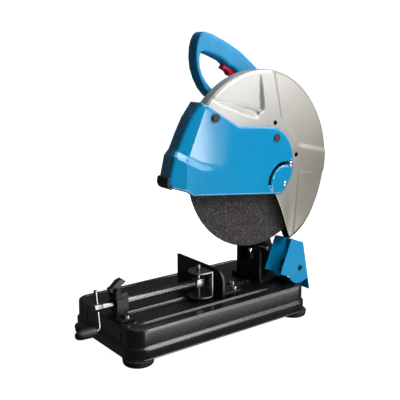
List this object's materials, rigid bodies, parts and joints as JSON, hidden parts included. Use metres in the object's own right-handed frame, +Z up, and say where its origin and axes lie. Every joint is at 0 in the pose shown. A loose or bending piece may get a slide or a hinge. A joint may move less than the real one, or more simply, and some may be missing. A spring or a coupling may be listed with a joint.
{
  "type": "chop saw",
  "caption": "Abrasive metal-cutting chop saw with a tray base, quick-release screw vise, angled fence, motor head on a hinge, blue swing-up wheel cover and D-handle.",
  "frame": {"origin": "middle of the bounding box's footprint, on the floor under the rubber feet", "axes": "+X to the wheel side, +Y to the rear where the head's hinge is, +Z up"},
  "size_m": [0.2792, 0.6051, 0.621],
  "materials": {
    "base_paint": "satin black paint",
    "bracket_paint": "satin black paint",
    "fence_paint": "satin black paint",
    "foot_rubber": "matt moulded rubber",
    "screw_chrome": "bright plated",
    "bolt_chrome": "bright plated",
    "shaft_steel": "turned steel",
    "spring_steel": "drawn steel wire",
    "jaw_steel": "zinc plated sheet",
    "knob_plastic": "moulded plastic, fine texture",
    "lever_plastic": "moulded plastic",
    "cover_blue": "gloss blue paint",
    "spark_guard_blue": "gloss blue paint",
    "guard_silver": "satin silver paint",
    "casting_black": "painted die casting",
    "gear_steel": "hardened steel",
    "bearing_steel": "ground steel",
    "lamination": "stacked laminations",
    "commutator_copper": "turned copper",
    "motor_blue": "moulded plastic, satin",
    "handle_blue": "moulded plastic, satin",
    "black_plastic": "moulded plastic",
    "abrasive": "bonded abrasive grit, glass-fibre reinforced",
    "trigger_red": "gloss plastic"
  },
  "bodies": {
    "frame": {"base_tray": "base_paint", "foot_front_left": "foot_rubber", "foot_front_right": "foot_rubber", "foot_rear_left": "foot_rubber", "foot_rear_right": "foot_rubber", "pivot_bracket": "bracket_paint", "pivot_shaft": "shaft_steel", "return_spring": "spring_steel", "depth_stop_bolt": "bolt_chrome", "vise_bracket": "bracket_paint", "vise_bracket_bolt_1": "bolt_chrome", "vise_bracket_bolt_2": "bolt_chrome", "fence_pivot_bolt": "bolt_chrome", "fence_lock_bolt": "bolt_chrome", "spark_guard_bolt": "black_plastic"},
    "head": {"head_casting": "casting_black", "gear_case_cover": "casting_black", "spindle_bearing_inner": "bearing_steel", "spindle_bearing_outer": "bearing_steel", "armature_bearing_front": "bearing_steel", "armature_bearing_rear": "bearing_steel", "motor_housing": "motor_blue", "motor_end_cap": "black_plastic", "stator": "lamination", "brush_holder_upper": "black_plastic", "brush_holder_lower": "black_plastic", "wheel_guard": "guard_silver", "cover_hinge_screw": "bolt_chrome", "cover_lock_screw": "bolt_chrome", "handle_left": "handle_blue", "handle_right": "handle_blue", "switch": "black_plastic"},
    "wheel_assembly": {"spindle": "shaft_steel", "spindle_gear": "gear_steel", "inner_flange": "shaft_steel", "outer_flange": "shaft_steel", "wheel_bolt": "bolt_chrome", "cutting_wheel": "abrasive"},
    "armature": {"armature_shaft": "shaft_steel", "armature_core": "lamination", "commutator": "commutator_copper", "cooling_fan": "black_plastic"},
    "cover": {"side_cover": "cover_blue", "cover_stud_front": "black_plastic", "cover_stud_rear": "black_plastic", "cover_lip": "foot_rubber"},
    "trigger_lever": {"trigger": "trigger_red"},
    "lock_on_button": {"lock_button": "black_plastic"},
    "spindle_lock_button": {"spindle_lock": "black_plastic"},
    "transport_pin": {"lock_pin": "bolt_chrome"},
    "release_lever": {"half_nut_lever": "lever_plastic"},
    "fence_plate": {"fence": "fence_paint"},
    "spark_shield": {"spark_guard": "spark_guard_blue"},
    "carriage": {"jaw_pin_block": "jaw_steel"},
    "jaw": {"vise_jaw": "jaw_steel"},
    "crank": {"vise_screw": "screw_chrome", "crank_bar": "screw_chrome"},
    "knob": {"crank_knob": "knob_plastic"}
  },
  "joints": [
    {"name": "head_swing", "type": "hinge", "parent": "frame", "child": "head", "pos_m": [0.01045, 0.2145, 0.12], "axis": [1, 0, 0], "range_deg": [0, 37.3], "stiffness_Nm_per_rad": 24.5, "springref_deg": -29.22},
    {"name": "wheel_spin", "type": "hinge", "parent": "head", "child": "wheel_assembly", "pos_m": [0.09295, 0.1095, 0.355], "axis": [1, 0, 0], "continuous": true},
    {"name": "armature_spin", "type": "hinge", "parent": "head", "child": "armature", "pos_m": [0.01045, 0.1545, 0.38485], "axis": [1, 0, 0], "continuous": true},
    {"name": "cover_swing", "type": "hinge", "parent": "head", "child": "cover", "pos_m": [0.11845, 0.1645, 0.31], "axis": [-1, 0, 0], "range_deg": [0, 105]},
    {"name": "trigger_pull", "type": "hinge", "parent": "head", "child": "trigger_lever", "pos_m": [0.05245, 0.0755, 0.556], "axis": [-1, 0, 0], "range_deg": [0, 8], "stiffness_Nm_per_rad": 0.6, "springref_deg": -17.19},
    {"name": "lock_button_press", "type": "slide", "parent": "head", "child": "lock_on_button", "axis": [1, 0, 0], "range_m": [0, 0.0025], "stiffness_N_per_m": 300, "springref_m": -0.003},
    {"name": "spindle_lock_press", "type": "slide", "parent": "head", "child": "spindle_lock_button", "axis": [1, 0, 0], "range_m": [0, 0.005], "stiffness_N_per_m": 300, "springref_m": -0.004},
    {"name": "lock_pin_slide", "type": "slide", "parent": "frame", "child": "transport_pin", "axis": [-1, 0, 0], "range_m": [0, 0.012]},
    {"name": "half_nut_release", "type": "hinge", "parent": "frame", "child": "release_lever", "pos_m": [0.05245, -0.2125, 0.134], "axis": [1, 0, 0], "range_deg": [0, 50]},
    {"name": "fence_angle", "type": "hinge", "parent": "frame", "child": "fence_plate", "pos_m": [0.06445, 0.0775, 0.0728], "axis": [0, 0, -1], "range_deg": [0, 45]},
    {"name": "spark_guard_tilt", "type": "hinge", "parent": "frame", "child": "spark_shield", "pos_m": [0.09245, 0.2245, 0.11], "axis": [-1, 0, 0], "range_deg": [0, 12]},
    {"name": "vise_slide", "type": "slide", "parent": "frame", "child": "carriage", "axis": [0, -1, 0], "range_m": [-0.018, 0.14]},
    {"name": "jaw_swivel", "type": "hinge", "parent": "carriage", "child": "jaw", "pos_m": [0.05245, -0.0095, 0.107], "axis": [0, 0, -1], "range_deg": [0, 45]},
    {"name": "crank_spin", "type": "hinge", "parent": "carriage", "child": "crank", "pos_m": [0.05245, -0.2515, 0.107], "axis": [0, -1, 0], "range_deg": [-2100, 16680]},
    {"name": "knob_spin", "type": "hinge", "parent": "crank", "child": "knob", "pos_m": [0.05888, -0.2515, 0.06347], "axis": [0, 1, 0], "continuous": true}
  ],
  "couplings": [
    {"joint": "armature_spin", "follows": "wheel_spin", "ratio": -5},
    {"joint": "vise_slide", "follows": "crank_spin", "m_per_rad": 0.00047746}
  ]
}
